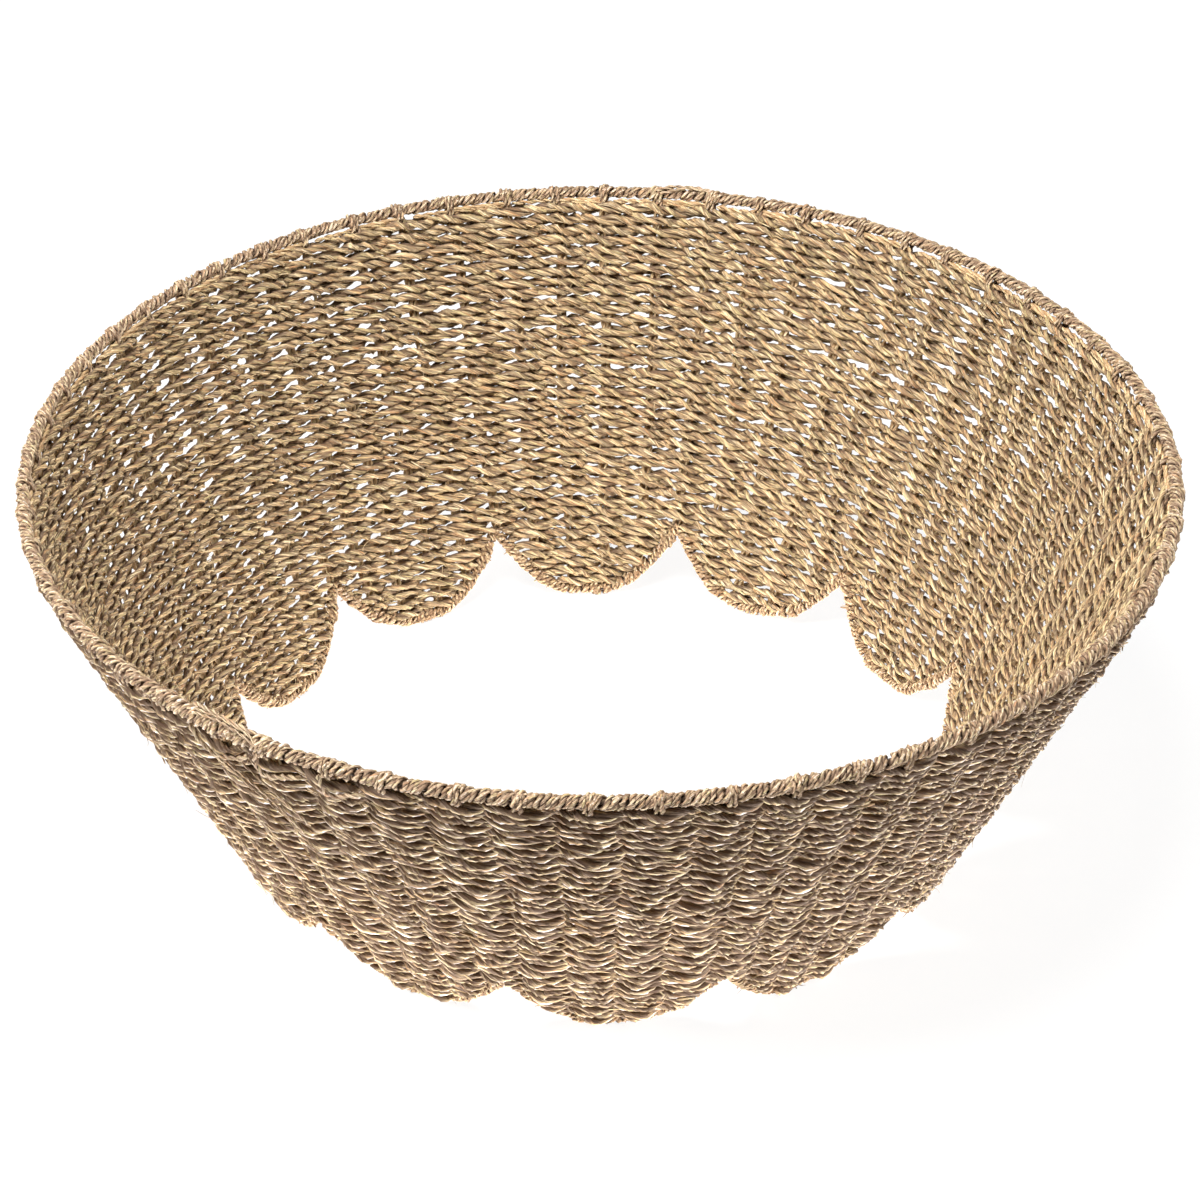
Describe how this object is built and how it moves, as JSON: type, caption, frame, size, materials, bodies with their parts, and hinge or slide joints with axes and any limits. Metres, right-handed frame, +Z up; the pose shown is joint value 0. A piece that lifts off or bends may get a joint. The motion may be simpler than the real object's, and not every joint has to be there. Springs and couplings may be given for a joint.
{
  "type": "christmas tree collar",
  "caption": "Wide flared ring of twined seagrass cord with a wrapped wire rim and a scalloped lower edge, set round the base of a tree to hide its stand.",
  "frame": {"origin": "on the floor, under the middle of the collar", "axes": "+Z up, from the scalloped edge to the wide rim; a lobe's middle lies on +X, and -Y faces the viewer of the picture"},
  "size_m": [0.6768, 0.6768, 0.2479],
  "materials": {
    "rim_seagrass": "matte twisted seagrass cord, close wound",
    "weft_seagrass": "matte two-ply twisted seagrass cord, straw with olive and brown strands",
    "warp_seagrass": "matte twisted seagrass cord",
    "edge_seagrass": "matte twisted seagrass cord, close wound",
    "steel_wire": "dark coated wire, hidden in the windings"
  },
  "bodies": {
    "root": {"rim_hoop": "steel_wire", "rim_wrap": "rim_seagrass", "wall_weave": "weft_seagrass", "edge_wire": "steel_wire", "warp_cord_01": "warp_seagrass", "warp_cord_02": "warp_seagrass", "warp_cord_03": "warp_seagrass", "warp_cord_04": "warp_seagrass", "warp_cord_05": "warp_seagrass", "warp_cord_06": "warp_seagrass", "warp_cord_07": "warp_seagrass", "warp_cord_08": "warp_seagrass", "warp_cord_09": "warp_seagrass", "warp_cord_10": "warp_seagrass", "warp_cord_11": "warp_seagrass", "warp_cord_12": "warp_seagrass", "warp_cord_13": "warp_seagrass", "warp_cord_14": "warp_seagrass", "warp_cord_15": "warp_seagrass", "warp_cord_16": "warp_seagrass", "warp_cord_17": "warp_seagrass", "warp_cord_18": "warp_seagrass", "warp_cord_19": "warp_seagrass", "warp_cord_20": "warp_seagrass", "warp_cord_21": "warp_seagrass", "warp_cord_22": "warp_seagrass", "warp_cord_23": "warp_seagrass", "warp_cord_24": "warp_seagrass", "warp_cord_25": "warp_seagrass", "warp_cord_26": "warp_seagrass", "warp_cord_27": "warp_seagrass", "warp_cord_28": "warp_seagrass", "warp_cord_29": "warp_seagrass", "warp_cord_30": "warp_seagrass", "lobe_weave_01": "weft_seagrass", "lobe_weave_02": "weft_seagrass", "lobe_weave_03": "weft_seagrass", "lobe_weave_04": "weft_seagrass", "lobe_weave_05": "weft_seagrass", "lobe_weave_06": "weft_seagrass", "lobe_weave_07": "weft_seagrass", "lobe_weave_08": "weft_seagrass", "lobe_weave_09": "weft_seagrass", "lobe_weave_10": "weft_seagrass", "lobe_weave_11": "weft_seagrass", "lobe_weave_12": "weft_seagrass", "edge_wrap_01": "edge_seagrass", "edge_wrap_02": "edge_seagrass", "edge_wrap_03": "edge_seagrass", "edge_wrap_04": "edge_seagrass", "edge_wrap_05": "edge_seagrass", "edge_wrap_06": "edge_seagrass", "edge_wrap_07": "edge_seagrass", "edge_wrap_08": "edge_seagrass", "edge_wrap_09": "edge_seagrass", "edge_wrap_10": "edge_seagrass", "edge_wrap_11": "edge_seagrass", "edge_wrap_12": "edge_seagrass"}
  },
  "joints": []
}
